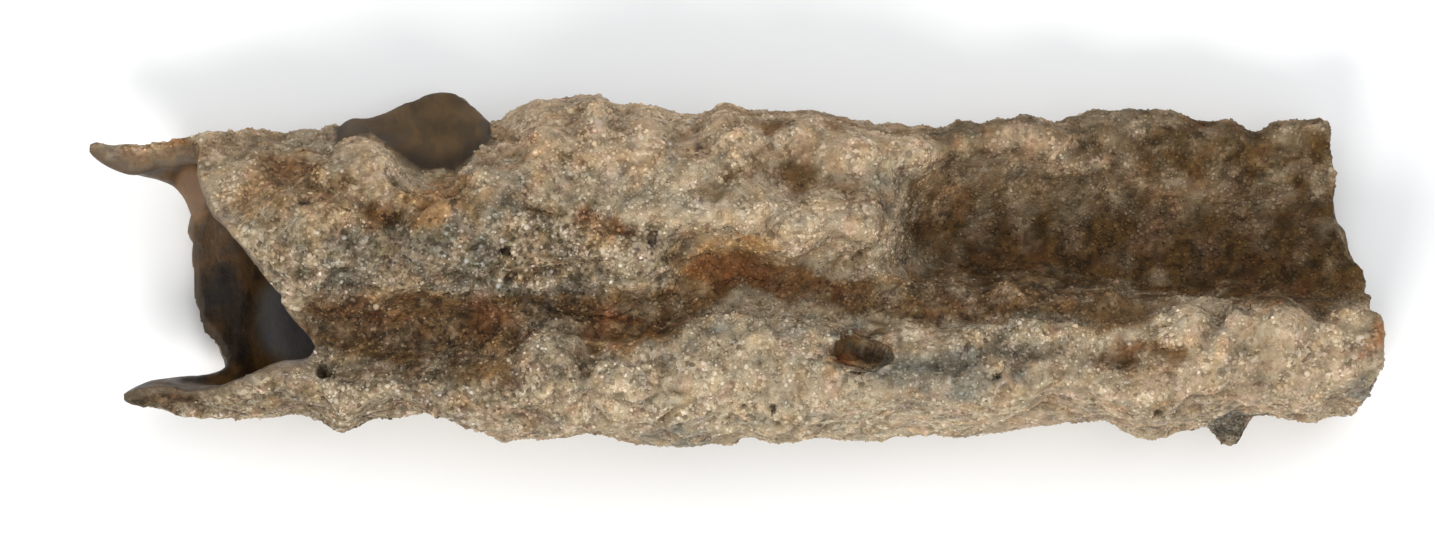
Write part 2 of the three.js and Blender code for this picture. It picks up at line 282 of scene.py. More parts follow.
def unit(vectors):
    return vectors / np.maximum(np.linalg.norm(vectors, axis=1), 1e-9)[:, None]


# %% Melt away the voxel steps
STEP_IN, STEP_BACK = 0.5, -0.52


def melted(places, rounds):
    """Smoothed places; each step is followed by a slightly larger step back, so horns don't shrink."""
    for _ in range(rounds):
        places = mixed_with_neighbours(mixed_with_neighbours(places, STEP_IN), STEP_BACK)
    return places


put(skin, melted(places_of(skin), 5))
print("smoothed skin spans", np.round(np.ptp(places_of(skin), axis=0), 2), "mm")

# %% [markdown]
# ## Telling the glass inside from the crust outside
# The two faces of the wall look nothing alike, so every point needs to know which one it is on. Along
# the closed tube, a point is inside if rays sent out across the tube all hit a wall, and only one
# wall lies below it: a deep fold of the roof has two. Where the mouth is torn open that fails, but the
# tube is plainly oval there: a point is inside if its normal looks towards the middle. One more patch
# of bare glass shows through the notch: the far wall's wing.

# %% Inside or outside
OPEN_MOUTH_TO = -20.7
MOUTH_MIDDLE = (0.0, 6.0)
LOOKS_IN = -0.12
RAY_START = 0.06
SPOKE_COUNT = 14
SPOKE_ANGLES = np.linspace(0, 2 * np.pi, SPOKE_COUNT, endpoint=False)
SPOKES = [Vector((0, np.cos(a), np.sin(a))) for a in SPOKE_ANGLES]
DOWN = Vector((0, 0, -1))
FOLDED = 4  # faces below a point that lies in a fold of the roof, over two walls


def tree_of(mesh):
    return BVHTree.FromPolygons([v.co for v in mesh.vertices], [p.vertices for p in mesh.polygons])


def walls_below(tree, start):
    """How many faces lie straight below a place, counted up to FOLDED: the bore has two."""
    count = 0
    place = start
    while count < FOLDED:
        place = tree.ray_cast(place, DOWN)[0]
        if place is None:
            break
        place = place + DOWN * RAY_START
        count += 1
    return count


def inside_share(mesh):
    """1 on the bore's glass and 0 on the crust."""
    tree = tree_of(mesh)
    places, normals = places_of(mesh), normals_of(mesh)
    inside = np.zeros(len(places))
    outward = unit(places[:, 1:] - MOUTH_MIDDLE)
    looks_out = (normals[:, 1:] * outward).sum(1)
    open_zone = places[:, 0] < OPEN_MOUTH_TO
    inside[open_zone] = looks_out[open_zone] < LOOKS_IN
    for i in np.flatnonzero(~open_zone):
        start = Vector(places[i] + normals[i] * RAY_START)
        if all(tree.ray_cast(start, spoke)[0] is not None for spoke in SPOKES):
            inside[i] = walls_below(tree, start) < FOLDED
    return inside


def line_y(line, x):
    """How far north a plan line lies at each x."""
    return np.interp(x, [point[0] for point in line], [point[1] for point in line])


WING_HEIGHTS = (9.0, 7.4)  # no wing above the first, whole below the second
RAGGED = 1.6


def wing_share(mesh):
    """1 on the bare wing of the far wall, seen through the notch."""
    places, normals = places_of(mesh), normals_of(mesh)
    along = smoothstep(NOTCH_LIP[0][0], NOTCH_LIP[0][0] + 0.5, places[:, 0])
    along *= smoothstep(NOTCH_LIP[-1][0], NOTCH_LIP[-1][0] - 0.5, places[:, 0])
    behind = smoothstep(-0.25, 0.15, places[:, 1] - line_y(NOTCH_LIP, places[:, 0]))
    low = smoothstep(*WING_HEIGHTS, places[:, 2])
    # round the back the bare patch ends on a ragged line
    ragged = np.array([max(0, noise.noise(Vector(place) / 1.1)) for place in places]) * RAGGED
    return along * behind * low * smoothstep(-0.35, 0.05, normals[:, 2] + ragged)


raw_inside = inside_share(skin)
bore_glass = smoothstep(0.35, 0.65, averaged(raw_inside, 3))
wing = smoothstep(0.35, 0.65, wing_share(skin)) * (1 - bore_glass)
inside = np.maximum(bore_glass, wing)
soft_inside = averaged(raw_inside, 12)
rim = smoothstep(0.04, 0.5, 4 * soft_inside * (1 - soft_inside))
glass_only = np.minimum(inside, 1 - rim)[:, None]
put(skin, mixed(places_of(skin), averaged(places_of(skin), 5), glass_only))
print(f"{bore_glass.mean():.0%} of the points are on glass in the bore, {wing.mean():.1%} on the wing")

# %% [markdown]
# ## Sculpting the near side
# The frame holds the long ridge, the trough and the torn mouth. The smaller swellings, grooves and
# bubble pits of the crust are given here, as a list of soft dabs and grooves in plan. Each moves the
# upward-looking crust along its normal, as a thumb would move clay. A texture could place such forms
# at random, but then none of them would be where this specimen has it.

# %% Swellings: x, y, half-length along x, half-width along y, height
SWELLINGS = [
    # torn end and the broad grey shoulder
    (-24.2, 5.3, 2.4, 1.2, 0.25), (-20.6, 1.2, 1.5, 2.6, 0.4), (-18.0, 5.6, 1.3, 1.1, 0.65),
    (-14.6, 1.9, 2.2, 1.7, 0.45), (-11.6, 1.2, 1.7, 1.7, 0.45), (-12.6, 4.2, 1.2, 1.2, 0.35),
    # the knob at the west end of the tall ridge, and the ridge's own lumps
    (-9.4, -4.3, 2.2, 1.4, 0.85), (-20.6, -5.4, 2.0, 0.7, 0.3), (-17.0, -6.0, 1.6, 0.8, 0.25),
    (-5.4, -5.0, 1.7, 1.2, 0.5), (-2.0, -4.2, 1.4, 1.2, 0.5), (1.3, -3.3, 1.6, 1.1, 0.55),
    (3.8, -3.4, 1.1, 0.9, 0.35), (5.75, -3.45, 0.45, 0.4, 0.6),
    (3.6, -5.6, 1.8, 1.0, 0.3), (11.6, -6.2, 2.6, 1.0, 0.3),
    (15.0, -2.9, 1.4, 0.9, 0.6), (18.2, -3.1, 1.3, 0.7, 0.4), (22.4, -2.9, 1.3, 1.1, 0.65),
    (24.2, -4.6, 1.6, 1.4, 0.45), (27.6, -3.1, 1.9, 1.1, 0.65), (30.4, -4.0, 1.2, 1.6, 0.35),
    (31.9, -3.6, 0.8, 0.8, 0.4), (20.2, -7.2, 1.6, 1.0, 0.45), (28.0, -6.4, 2.0, 0.9, 0.25),
    (-13.6, -6.9, 2.4, 0.8, 0.3), (11.9, -3.1, 1.0, 0.6, 0.35), (25.0, -2.8, 0.8, 0.7, 0.4),
    # low brown ledge behind the ridge, with its own scalloped edge
    (13.8, -0.9, 1.1, 0.6, 0.75), (18.9, -1.1, 1.0, 0.6, 0.75), (16.4, -1.6, 1.0, 0.5, 0.4),
    (10.6, -0.7, 1.3, 0.6, 0.6), (8.0, -1.0, 1.4, 0.7, 0.45), (23.0, -1.6, 1.2, 0.5, 0.45),
    # pale patch and the front ridge, which stops short of the trough
    (-4.8, 0.4, 2.0, 1.1, 0.75), (-2.2, 2.7, 1.4, 1.1, 0.5), (0.9, 3.3, 1.8, 1.0, 0.65),
    (4.2, 2.5, 2.0, 1.1, 0.7), (6.3, 2.3, 1.0, 1.1, 0.75), (2.6, 1.5, 1.5, 0.7, 0.3),
    # top ridge
    (-9.2, 6.6, 1.5, 1.4, 0.45), (-6.7, 7.8, 1.0, 0.9, 0.5), (-4.4, 6.4, 1.5, 1.2, 0.4),
    (-0.2, 7.0, 1.4, 1.1, 0.5), (2.8, 6.7, 1.3, 0.9, 0.45), (6.2, 5.7, 1.3, 0.9, 0.55),
    # soft lumps on the trough's upper flank
    (9.3, 5.6, 0.9, 1.4, 0.6), (11.4, 6.3, 0.7, 0.7, 0.45), (12.9, 6.6, 0.8, 0.7, 0.4),
    (15.4, 6.4, 1.5, 1.1, 0.75), (16.8, 5.0, 1.3, 0.7, 0.5), (18.4, 5.0, 0.6, 0.5, 0.3),
    (21.5, 6.8, 2.0, 0.9, 0.3), (28.4, 6.6, 1.5, 0.9, 0.3),
]


def away_from(places, x, y, half_x, half_y):
    """How far each place lies from an oval's middle in plan, squared: 1 is on the oval."""
    return ((places[:, 0] - x) / half_x) ** 2 + ((places[:, 1] - y) / half_y) ** 2


def add_swellings(places, shift):
    for *oval, height in SWELLINGS:
        shift += height * np.exp(-1.2 * away_from(places, *oval) ** 1.4)


print(f"{len(SWELLINGS)} swellings set")

# %% Grooves: depth, half-width, then the points they pass through
GROOVES = [
    # main valley between the grey shoulder and the tall ridge
    (0.30, 0.90, [(-20.6, -4.4), (-17.8, -3.5), (-14.8, -3.4), (-12.2, -4.3), (-11.4, -5.3)]),
    # its narrow middle stretch is silted up, and so is raised instead
    (-0.45, 0.95, [(-11.4, -2.4), (-8.8, -2.3), (-6.8, -2.7), (-4.3, -2.5), (-2.0, -1.2), (-0.3, -0.3)]),
    (-0.35, 0.85, [(0.6, -0.4), (2.3, -0.8), (5.8, -1.0), (7.6, -0.6)]),
    # down the east side of the knob
    (0.45, 0.35, [(-6.9, -3.5), (-7.4, -5.2)]),
    # and down its west side
    (0.55, 0.40, [(-11.0, -3.2), (-11.3, -4.3), (-11.0, -5.6)]),
    # streak valley between the top ridge and the front ridge, raised in the same way
    (-0.35, 0.80, [(-2.8, 4.6), (0.4, 5.0), (3.8, 4.8), (7.6, 4.1)]),
    # dents in the grey shoulder
    (0.50, 0.80, [(-22.9, 5.0), (-20.3, 4.0), (-18.4, 3.4), (-16.6, 2.4)]),
    (0.35, 0.50, [(-16.9, 2.6), (-16.6, 0.6)]), (0.40, 0.40, [(-6.2, 2.2), (-4.2, 1.9)]),
    # hollow in the tall ridge, east of its middle
    (0.50, 0.65, [(17.8, -4.2), (20.2, -4.6), (21.6, -5.3)]),
    (0.50, 0.70, [(8.6, -4.4), (11.2, -4.8)]),
    # where the front ridge breaks off above the trough
    (0.40, 0.70, [(8.6, 2.6), (8.9, 1.7), (9.2, 0.7)]),
    # ledge's own groove
    (0.55, 0.35, [(10.0, -2.1), (14.0, -2.0), (17.0, -2.4), (21.4, -2.0)]),
]
# the stretch of the main valley that fine sand has filled
SILTED_UP = [
    (-11.4, -2.6), (-8.8, -2.3), (-6.8, -2.8), (-4.3, -2.7), (-2.0, -1.5), (-0.3, -0.5), (2.3, -0.8),
    (5.8, -1.1), (7.6, -0.8),
]
SILT_WIDTH, SILT_ROUNDS = 1.5, 40


def add_grooves(places, shift):
    for depth, half_width, path in GROOVES:
        shift -= depth * bell(distance_to_path(places, path), 0, half_width)


def shaken(places, size, far):
    """The places, moved about by smooth noise, so that outlines drawn on them turn ragged."""
    return places + far * np.array([noise.noise_vector(Vector(place) / size) for place in places])


def add_pits(places, shift):
    for *oval, depth in PITS:
        shift -= depth * smoothstep(1.25, 0.55, away_from(places, *oval))


print(f"{len(GROOVES)} grooves and {len(PITS)} pits set")


# %% Push the crust, but never through the wall
WALL_LEFT_BY_HAND, WALL_LEFT_BY_NOISE = 0.65, 0.42
LIP_RISE, LIP_WIDTH, LIP_ABOVE = 0.30, 0.7, 8.5


def wall_under(mesh, towards):
    """How thick the wall is under each point, looking against its normal."""
    tree = tree_of(mesh)
    found = np.full(len(mesh.vertices), DEPTH)
    for i, (place, normal) in enumerate(zip(places_of(mesh), towards)):
        hit = tree.ray_cast(Vector(place - normal * RAY_START), Vector(-normal))
        if hit[0] is not None:
            found[i] = hit[3] + RAY_START
    return found


def push(mesh, height, towards, thinnest_wall):
    """Move points along a direction, stopping where the wall would get too thin."""
    room = np.minimum(thinnest_wall - wall_under(mesh, towards), 0)
    height = np.maximum(height, room)
    put(mesh, places_of(mesh) + towards * height[:, None])
    return height


places, normals = places_of(skin), normals_of(skin)
looks_up = smoothstep(0.05, 0.50, averaged(normals[:, 2], 6)) * (1 - inside)
silt = 1.3 * bell(distance_to_path(places, SILTED_UP), 0, SILT_WIDTH)[:, None]
silt = np.minimum(silt * (1 - inside[:, None]) * (places[:, 2:] > DEPTH / 3), 1)
places = mixed(places, averaged(places, SILT_ROUNDS), silt)
put(skin, places)
shift, pits = np.zeros(len(places)), np.zeros(len(places))
add_swellings(places, shift)
add_grooves(places, shift)
add_pits(shaken(shaken(places, 1.3, 0.35), 0.5, 0.06), pits)
lip = LIP_RISE * bell(distance_to_path(places, NOTCH_LIP), 0, LIP_WIDTH)
lip = lip * (places[:, 2] > LIP_ABOVE)
height = averaged(shift * looks_up, 1) + (pits + lip) * looks_up
pushed = push(skin, height, unit(averaged(normals, 4)), WALL_LEFT_BY_HAND)
print(f"sculpted by {pushed.min():.2f} to {pushed.max():.2f} mm")

# %% [markdown]
# ## The nubbly crust
# Melted sand shrinks into rounded nodules with sharp creases between them. The absolute value of
# smooth noise has that shape: round tops and sharp valleys. Three sizes of it are laid over each other,
# stretched along the tube, because the fused folds run that way. On top come knobs, from the distance
# to scattered points, which gives whole round lumps. Where slow noise says that the melt ran smooth,
# all of it fades. The glass inside only gets slow ripples that run round the bore.


# %% Noise over the whole skin
def nodules(point, size, stretch=1.0):
    """Rounded lumps of about this size in mm, from about -0.25 in the creases to 0.6 on the tops."""
    spot = Vector((point[0] / (size * stretch), point[1] / size, point[2] / size))
    return abs(noise.noise(spot)) * 2.0 - 0.35


def knobs(point, size):
    """Round-topped lumps, each about this wide in mm, that meet in creases."""
    gap = noise.voronoi(Vector(point) / size)[0][0]
    return 0.45 - min(gap, 1.0) ** 1.6


def crust_height(point, calm):
    """Broad lumps everywhere, with finer ones on them where the melt isn't calm."""
    warped = Vector(point) + noise.noise_vector(Vector(point) / 2.2) * 0.9
    patchy = max(-0.35, min(0.5, noise.noise(Vector(point) / 4.5)))
    rough = (0.50 + 0.8 * patchy) * (1 - 0.6 * calm)
    return (0.50 * nodules(warped, 4.0, 1.6) + rough * (0.50 * nodules(warped, 1.8, 1.3)
            + 0.34 * knobs(warped, 1.25) + 0.26 * nodules(warped, 0.9) + 0.14 * knobs(point, 0.62)))


def glass_height(point):
    """Slow ripples that run round the bore."""
    ripple = noise.noise(Vector((point[0] / 1.6, point[1] / 4.0, point[2] / 4.0)))
    return 0.14 * ripple + 0.10 * noise.noise(Vector(point) / 1.6)


# where the melt ran smooth: x, y, half-length, half-width, and how far the roughness fades
RAN_SMOOTH = [
    (20.0, 3.5, 13.0, 5.0, 1.0), (13.0, -7.2, 6.5, 1.3, 0.9), (27.5, -5.0, 5.0, 2.6, 0.6),
    (-3.0, 7.4, 8.0, 1.5, 0.6), (5.5, 2.6, 3.2, 1.2, 0.7), (-17.0, 6.2, 4.0, 1.6, 0.9),
    (-4.8, 0.4, 2.0, 1.2, 0.5), (4.5, 5.6, 5.0, 1.6, 0.5),
]


def patch_share(places, patches):
    """How far each place, seen in plan, lies within any of these soft oval patches."""
    share = np.zeros(len(places))
    for *oval, strength in patches:
        share = np.maximum(share, strength * smoothstep(1.6, 0.5, away_from(places, *oval)))
    return share


places, normals = places_of(skin), normals_of(skin)
calm = patch_share(places, RAN_SMOOTH) * (normals[:, 2] > -0.3)
crust = np.array([crust_height(p, still) for p, still in zip(places, calm)])
glass = np.array([glass_height(p) for p in places])
CRUST_INSET = 0.20
height = (crust - CRUST_INSET) * (1 - inside) * (1 - 0.5 * rim) + glass * inside
pushed = push(skin, height, normals, WALL_LEFT_BY_NOISE)
print(f"crust relief: {crust.std():.2f} mm standard, {pushed.min():.2f} to {pushed.max():.2f} mm")

# %% [markdown]
# ## The outline
# Seen from above, the tube's edge has bays and bumps of its own, and one loose flake juts out under
# the tube. They sit on the steep sides, where a push along the normal would only thicken the wall.
# So here whole stretches of the side, wall and all, are drawn in or out in plan.

# %% Bays and bumps in plan: x, half-length, how far to move outwards
NORTH_SIDE = [
    (-32.0, 0.8, 0.3), (-22.0, 0.8, -0.42), (-20.2, 0.5, -0.35), (-14.5, 1.1, 0.35),
    (-13.0, 0.6, 0.15), (-10.9, 1.0, -0.8), (-8.4, 0.9, -0.4), (-7.0, 0.6, 0.15),
    (4.0, 1.7, 0.45), (-4.5, 0.9, 0.25), (-0.5, 0.8, 0.25), (11.2, 0.6, 0.15),
    (14.5, 0.9, 0.25), (-24.0, 0.8, 0.3), (-12.0, 0.5, -0.15), (17.0, 0.8, 0.2),
    (25.2, 1.1, 0.4), (-19.0, 1.2, 0.15),
]
SOUTH_SIDE = [
    (-26.0, 1.5, -0.22), (-19.6, 1.1, 0.32), (-7.0, 1.4, -0.2), (9.0, 1.4, -0.12),
    (-11.5, 1.2, 0.25), (16.4, 1.6, -0.15), (20.5, 1.2, -0.25), (-2.2, 1.2, 0.25),
    (31.2, 0.8, 0.25), (32.2, 0.7, -0.45), (29.9, 0.7, -0.2),
]
FLAKE_TIP = (25.2, 2.4, 0.95, 1.3)  # x, then its reach to the west, to the east, and outwards
FLAKE_HEIGHT, FLAKE_HALF_THICK = 4.3, 1.1
HORN_REACH = 0.15


def drawn_outline(places):
    moved = places.copy()
    x, y, z = places.T
    for middle, half, distance in NORTH_SIDE:
        moved[:, 1] += distance * bell(x, middle, half) * smoothstep(3.5, 6.5, y)
    for middle, half, distance in SOUTH_SIDE:
        moved[:, 1] -= distance * bell(x, middle, half) * smoothstep(-4.5, -7.0, y)
    tip, west, east, reach = FLAKE_TIP
    spike = np.clip(1 - np.where(x < tip, (tip - x) / west, (x - tip) / east), 0, 1)
    spike = spike * smoothstep(-6.4, -7.3, y)
    moved[:, 1] -= reach * spike * bell(z, FLAKE_HEIGHT, FLAKE_HALF_THICK)
    moved[:, 0] -= HORN_REACH * smoothstep(-29.0, -32.0, x)
    # the snapped end: its long wall reaches out further, and the lobe beside it less
    end = smoothstep(27.0, 29.5, x)
    moved[:, 0] += end * (0.28 * bell(y, 2.0, 2.5) - 0.45 * bell(y, -1.8, 0.8))
    return moved


put(skin, drawn_outline(places_of(skin)))
south, north = places_of(skin)[:, 1].min(), places_of(skin)[:, 1].max()
print(f"outline drawn: y from {south:.2f} to {north:.2f} mm")

# %% [markdown]
# ## Keeping to the frame's size
# The sculpting pushed the tops out a little. The frame's box is the real size, so everything near a
# side of the box is squeezed back smoothly, as a soft limit does, instead of being cut off flat. Only
# the underside is cut flat: those are the small worn patches that it rests on.

# %% Squeeze into the frame's box
GRAIN_ROOM = 0.06
SOFT_ZONES = (0.45, 0.20, 0.20)  # along x, y and z
FLOOR_GAP = 0.01


def eased_below(values, limit, zone):
    """Values that close in on the limit over a soft zone and never pass it."""
    over = np.maximum(values - (limit - zone), 0)
    return np.minimum(values, limit - zone) + zone * (1 - np.exp(-over / zone))


def kept_in_box(places, room):
    held = places.copy()
    for axis, zone in enumerate(SOFT_ZONES):
        held[:, axis] = eased_below(held[:, axis], HIGH[axis] - room, zone)
        if axis < 2:
            held[:, axis] = -eased_below(-held[:, axis], -LOW[axis] - room, zone)
    held[:, 2] = np.maximum(held[:, 2], FLOOR_GAP)
    return held


put(skin, kept_in_box(places_of(skin), GRAIN_ROOM))
print("skin now spans", np.round(np.ptp(places_of(skin), axis=0), 2), "mm of", np.round(HIGH - LOW, 2))

# %% [markdown]
# ## Hollows and creases: brown dust and painted shade
# Iron-brown dust stays in hollows and is rubbed off ridges. The tint also darkens the deep hollows and
# the creases as painted shade. Two measures say which is which. How much open sky a point sees tells
# the trough from the ridges, so a few rays are sent out from every point. How far a point lies below
# the smoothed surface tells creases from lumps. A "pointiness" node would only see creases a grain
# wide, and it gives a different answer in every renderer.

# %% Shelter: 0 in the open, 1 deep inside
REACH_OF_SHELTER = 9.0
SKY_RAYS = 22
GRAZING = 0.15  # rays that leave the surface flatter than this are skipped


def sky_directions(count):
    """Directions spread evenly over a sphere, along a golden spiral."""
    k = np.arange(count) + 0.5
    z = 1 - 2 * k / count
    turn = k * np.pi * (3 - np.sqrt(5))
    flat = np.sqrt(1 - z * z)
    return np.stack([flat * np.cos(turn), flat * np.sin(turn), z], 1)


def shelter_of(mesh):
    tree = tree_of(mesh)
    rays = sky_directions(SKY_RAYS)
    ray_vectors = [Vector(ray) for ray in rays]
    places, normals = places_of(mesh), normals_of(mesh)
    facing = np.clip(normals @ rays.T, 0, None)
    blocked = np.zeros(len(places))
    for i, (place, normal) in enumerate(zip(places, normals)):
        start = Vector(place + normal * RAY_START)
        for k in np.flatnonzero(facing[i] > GRAZING):
            if tree.ray_cast(start, ray_vectors[k], REACH_OF_SHELTER)[0] is not None:
                blocked[i] += facing[i, k]
    return blocked / facing.sum(1)


shelter = averaged(shelter_of(skin), 2)
print(f"shelter on the crust: {shelter[inside < 0.5].mean():.2f} on average")


# %% Creases and lumps: above 0 in a crease, below 0 on a lump
def depth_below(mesh, rounds):
    """How far each point lies below the smoothed skin, in units of its usual spread."""
    places = places_of(mesh)
    depth = ((averaged(places, rounds) - places) * unit(averaged(normals_of(mesh), 3))).sum(1)
    return np.clip(depth / depth.std(), -2.5, 2.5)


fine_crease = depth_below(skin, 6)
broad_crease = depth_below(skin, 50)
print("creases measured at two widths")

# %% [markdown]
# ## Stains
# The crust is tan sand. On it lie brown dust in the hollows, rusty blotches, bluish-grey patches of
# bare glass, peach-coloured folds, and cream ridges with the cleanest quartz. Each is a list of soft
# patches in plan, with edges made ragged by noise. Painted shade is mixed into the tint too: in the
# trough behind the tall ridge, in deep hollows and creases, in the pits, along the north top edge and
# on the wing under the notch's lip, and a painted bluish sheen lies on the shaded glass deep in the
# mouth. The underside, where no patch is listed, gets its stains from slow noise, so that it looks
# like the same stone. The result is one tint for each point, which both the skin and the grains on it
# take.

# %% Edges of the long bands of stain, and of the trough's painted shade, in plan, from west to east
VALLEY_NORTH = [
    (-22.6, -2.6), (-21.6, -1.4), (-18.6, -1.2), (-16.3, -0.9), (-13.0, -1.4), (-10.6, -1.0),
    (-9.2, -0.6), (-7.3, -0.7), (-5.0, -1.0), (-3.3, -0.5), (-1.9, 0.8), (0.2, 1.2),
    (3.1, 0.5), (5.0, -0.2), (8.7, 0.0),
]
VALLEY_SOUTH = [
    (-22.6, -3.0), (-21.0, -4.2), (-17.2, -5.2), (-14.4, -6.1), (-11.6, -5.8), (-11.1, -3.8),
    (-9.2, -2.8), (-7.0, -3.1), (-5.9, -4.2), (-4.2, -4.1), (-3.0, -3.5), (-1.6, -2.4),
    (0.2, -1.4), (3.1, -2.0), (5.0, -2.4), (8.7, -3.0),
]
TROUGH_SOUTH = [
    (7.8, 0.2), (9.6, 0.0), (11.5, -0.6), (12.4, -1.4), (13.7, -0.6), (15.5, -1.5), (17.3, -1.4),
    (19.1, -0.9), (20.6, -1.9), (23.6, -1.9), (25.4, -2.5), (26.5, -2.5), (27.8, -2.1), (29.0, -2.8),
    (30.2, -2.5), (31.8, -1.4), (33.0, -0.6),
]
TROUGH_NORTH = [(7.8, 2.2), (9.0, 5.6), (10.0, 9.8), (33.0, 9.8)]
# how dark the trough is at each y, from its silted floor to the top of its flank: its brown stain
# with painted shade cast by the tall ridge, darkest on the floor beside the ridge
TROUGH_DEPTHS = [
    (-3.0, 0.88), (-1.2, 1.03), (0.4, 1.00), (1.6, 0.76), (3.0, 0.65), (5.5, 0.62), (7.4, 0.6),
]
LEDGE_SOUTH = [
    (8.0, -3.0), (11.9, -2.7), (13.7, -2.7), (15.0, -2.2), (17.3, -2.8), (18.0, -3.6), (19.5, -3.4),
    (20.9, -2.6), (22.0, -1.9),
]
LEDGE_WIDTH = 1.2
# the trough's brown and painted shade run out over the snapped end and up the tall flank; over the
# south horn of the mouth the same darkening is painted shade on the horn's top
TROUGH_END = [(29.5, 1.0, 3.4, 3.4, 0.90), (25.0, 5.9, 5.6, 1.9, 0.93), (-29.5, -5.9, 3.0, 1.0, 0.85)]
print(f"the valley runs {VALLEY_NORTH[-1][0] - VALLEY_NORTH[0][0]:.0f} mm, "
      f"the trough {TROUGH_SOUTH[-1][0] - TROUGH_SOUTH[0][0]:.0f} mm")

# %% Listed stains: x, y, half-length along x, half-width along y, strength
BROWN = [
    (1.0, 5.0, 1.6, 0.5, 0.6), (3.8, 4.5, 1.9, 0.55, 0.72), (6.5, 3.9, 1.6, 0.55, 0.75),
    (-21.0, 4.7, 2.2, 0.8, 0.6), (-17.2, 3.0, 1.8, 1.1, 0.6), (-15.2, 7.0, 3.4, 1.8, 0.6),
    # the last entry on the line below and the first on the one after, two strips along the north top
    # edge, are painted shade of the far side; the rest are stains
    (21.3, -4.6, 0.8, 1.1, 0.7), (19.2, -4.3, 1.2, 0.5, 0.5), (11.0, 7.2, 3.6, 0.4, 0.7),
    (4.2, 7.7, 5.0, 0.4, 0.75), (31.4, -2.6, 0.8, 0.7, 0.5), (-24.8, 6.2, 2.0, 0.9, 0.55),
    (6.6, -4.0, 1.2, 0.6, 0.9), (-29.0, 5.7, 2.8, 1.2, 0.75), (22.6, -6.2, 0.9, 0.6, 0.5),
    (-1.2, 1.9, 0.7, 0.6, 0.5), (-9.3, 3.8, 1.5, 0.7, 0.4), (12.9, 5.6, 0.5, 0.9, 0.6),
    (10.6, 5.4, 0.5, 1.0, 0.6), (-11.4, -4.6, 0.6, 1.2, 0.9), (-7.2, -4.3, 0.3, 0.9, 0.6),
]
RUST = [
    (-22.6, 4.4, 2.2, 1.2, 0.2), (-12.2, -2.4, 1.5, 0.7, 0.5), (-7.0, -2.8, 1.8, 0.7, 0.6),
    (0.4, 0.0, 2.4, 1.0, 0.55), (-6.2, 2.0, 1.2, 0.5, 0.7), (5.4, -4.5, 0.7, 0.4, 0.6),
    (19.4, -4.3, 1.6, 0.4, 0.3), (32.0, -3.4, 0.8, 0.9, 0.9), (26.0, -0.8, 3.0, 0.6, 0.5),
    (22.0, 1.6, 7.0, 1.6, 0.4), (14.0, 1.0, 3.0, 1.0, 0.35), (-14.2, 3.5, 1.8, 0.9, 0.3),
    (3.9, -1.2, 2.6, 0.6, 0.8), (-19.2, -2.0, 1.8, 0.5, 0.5), (-29.0, 5.9, 2.4, 0.8, 0.35),
]
GREY = [
    (9.9, -5.2, 2.7, 1.2, 0.85), (-8.2, -0.6, 1.5, 0.7, 0.9), (-1.0, -3.2, 1.3, 0.7, 0.8),
    (-16.2, -4.9, 1.5, 0.6, 0.7), (31.4, -5.9, 0.8, 0.8, 1.0), (25.0, -8.2, 1.9, 1.1, 1.0),
    (5.7, -3.4, 0.5, 0.4, 1.0), (-14.5, 0.8, 3.0, 1.8, 0.5), (3.5, -2.9, 1.3, 0.5, 0.8),
    (-32.0, 5.7, 1.1, 0.7, 1.0), (-30.0, -6.3, 1.3, 0.7, 1.0), (-2.6, -8.3, 2.4, 0.7, 0.6),
    (-10.8, -1.2, 1.5, 0.5, 0.6), (13.6, -4.4, 1.8, 0.9, 0.6), (-12.0, 3.0, 1.4, 1.2, 0.4),
    (-19.0, 0.4, 1.6, 1.6, 0.5),
]
PEACH = [
    (-5.0, 7.0, 7.5, 2.0, 1.0), (4.0, 6.6, 6.0, 1.4, 0.9), (9.4, 5.6, 0.9, 1.4, 0.9),
    (-18.0, 5.8, 1.8, 1.5, 1.0), (3.8, 2.6, 4.6, 1.6, 0.6), (26.5, -4.4, 6.5, 2.6, 0.5),
    (22.0, -7.0, 9.0, 1.4, 0.35), (-24.5, 4.6, 2.2, 1.6, 0.6), (15.0, 6.4, 1.8, 1.2, 0.75),
    (11.6, 6.4, 0.7, 0.7, 0.8), (17.2, 5.3, 1.0, 0.45, 0.9),
]
CREAM = [
    (-3.0, -6.4, 6.0, 1.3, 0.7), (-17.8, 5.9, 1.0, 0.8, 0.7), (0.3, -6.8, 2.4, 0.9, 0.6),
    (1.5, 3.0, 2.6, 1.0, 0.45), (5.4, 2.4, 2.2, 1.1, 0.4), (-4.6, 0.4, 1.8, 0.9, 0.3),
    (15.0, -3.0, 1.2, 0.8, 0.7), (22.6, -3.2, 1.4, 1.0, 0.5), (6.0, -7.4, 9.0, 1.1, 1.0),
    (27.6, -3.4, 2.0, 1.2, 0.5), (1.4, -3.6, 1.2, 0.9, 0.4),
]
OCHRE_DUST = [
    (-21.8, 4.0, 2.8, 1.8, 0.55), (-14.6, 3.4, 2.2, 1.2, 0.75), (-18.5, 2.6, 1.6, 0.8, 0.5),
    (-6.6, 1.9, 1.3, 0.7, 0.7), (-10.2, 5.4, 1.6, 1.0, 0.35), (-16.5, -1.6, 3.0, 0.8, 0.5),
    (10.5, 3.8, 1.4, 1.2, 0.4), (-29.0, 5.9, 2.6, 0.9, 0.5), (0.0, 0.2, 2.8, 1.2, 0.9),
    (5.5, -4.5, 0.9, 0.5, 0.9), (-5.8, -3.3, 2.0, 0.7, 0.6), (3.5, -0.9, 2.2, 0.6, 0.5),
]
# a painted bluish sheen deep in the mouth, on glass that lies in shade
MOUTH_SHEEN_PATCHES = [(-22.0, -2.4, 1.9, 2.2, 1.0), (-19.5, -1.0, 2.5, 4.0, 0.6)]
# and a pale skin of sand on the upper corner of the far wall, where it runs out into the horn
PALE_SKIN = [(-27.2, 3.7, 0.8, 1.3, 1.0)]
